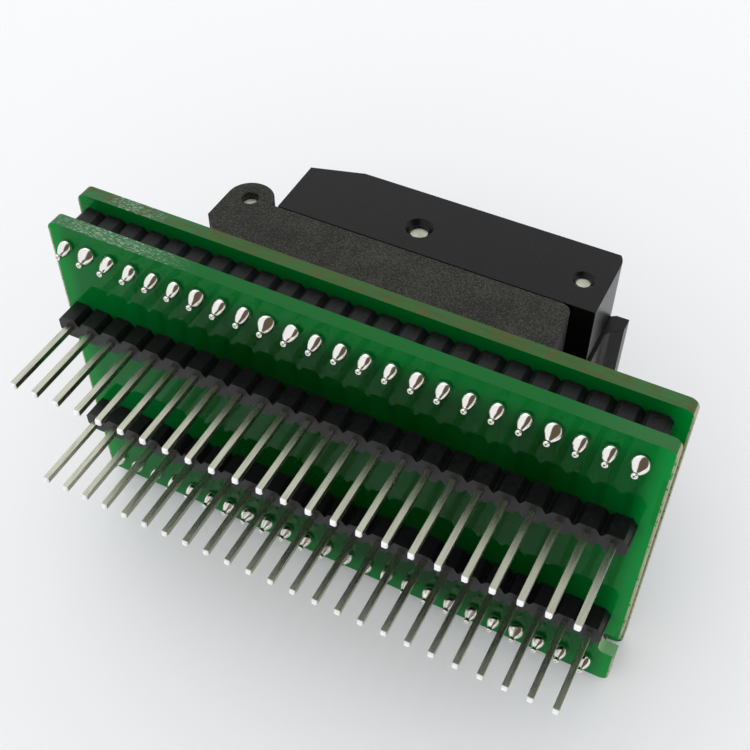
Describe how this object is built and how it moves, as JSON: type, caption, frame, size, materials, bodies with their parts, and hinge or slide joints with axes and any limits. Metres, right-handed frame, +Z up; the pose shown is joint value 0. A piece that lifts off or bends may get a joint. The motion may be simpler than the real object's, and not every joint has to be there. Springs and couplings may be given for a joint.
{
  "type": "clamshell test socket adapter",
  "caption": "Hinged-lid chip test socket on two stacked green boards with two rows of square header pins below.",
  "frame": {"origin": "centre of the boards in X and Y, on the plane of the header pin tips", "axes": "+Z up from the pin tips to the socket's lid, +X along the boards towards the socket's latch, +Y towards the side with the board notch"},
  "size_m": [0.0632, 0.0384, 0.0378],
  "materials": {
    "solder_mask": "glossy green solder mask on glass-fibre board",
    "strip_plastic": "black moulded header plastic",
    "tinned_pin": "tinned square pin",
    "solder": "bright solder",
    "base_plastic": "coarse matt black moulding",
    "contact_gold": "gold-plated spring contact",
    "steel_pin": "ground steel pin",
    "spring_steel": "spring wire",
    "lid_plastic": "smooth satin black moulding",
    "plate_plastic": "matt black moulding"
  },
  "bodies": {
    "board_stack": {"lower_board": "solder_mask", "upper_board": "solder_mask", "header_strip_front": "strip_plastic", "header_strip_rear": "strip_plastic", "header_pins_front": "tinned_pin", "header_pins_rear": "tinned_pin", "header_solder_front": "solder", "header_solder_rear": "solder", "spacer_strip_front": "strip_plastic", "spacer_strip_rear": "strip_plastic", "spacer_pins_front": "tinned_pin", "spacer_pins_rear": "tinned_pin", "lower_solder_front": "solder", "lower_solder_rear": "solder", "upper_solder_front": "solder", "upper_solder_rear": "solder", "socket_base": "base_plastic", "contact_block": "plate_plastic", "package_guides": "plate_plastic", "contacts_hinge_side": "contact_gold", "contacts_latch_side": "contact_gold", "contact_solder_hinge_side": "solder", "contact_solder_latch_side": "solder", "hinge_pin": "steel_pin", "hinge_spring": "spring_steel"},
    "lid": {"lid": "lid_plastic", "pressure_pin": "steel_pin", "latch_pin": "steel_pin", "latch_spring": "spring_steel"},
    "pressure_plate": {"pressure_plate": "plate_plastic"},
    "latch_lever": {"latch_lever": "lid_plastic"}
  },
  "joints": [
    {"name": "lid_hinge", "type": "hinge", "parent": "board_stack", "child": "lid", "pos_m": [-0.01875, 0, 0.02799], "axis": [0, -1, 0], "range_deg": [0, 100], "deforming": ["hinge_spring"]},
    {"name": "latch_pivot", "type": "hinge", "parent": "lid", "child": "latch_lever", "pos_m": [0.0167, 0, 0.03209], "axis": [0, -1, 0], "range_deg": [0, 14], "stiffness_Nm_per_rad": 0.004, "springref_deg": -14.32, "deforming": ["latch_spring"]},
    {"name": "plate_tilt", "type": "hinge", "parent": "lid", "child": "pressure_plate", "pos_m": [-0.0009, 0, 0.03174], "axis": [0, -1, 0], "range_deg": [-1.5, 1.5]}
  ]
}
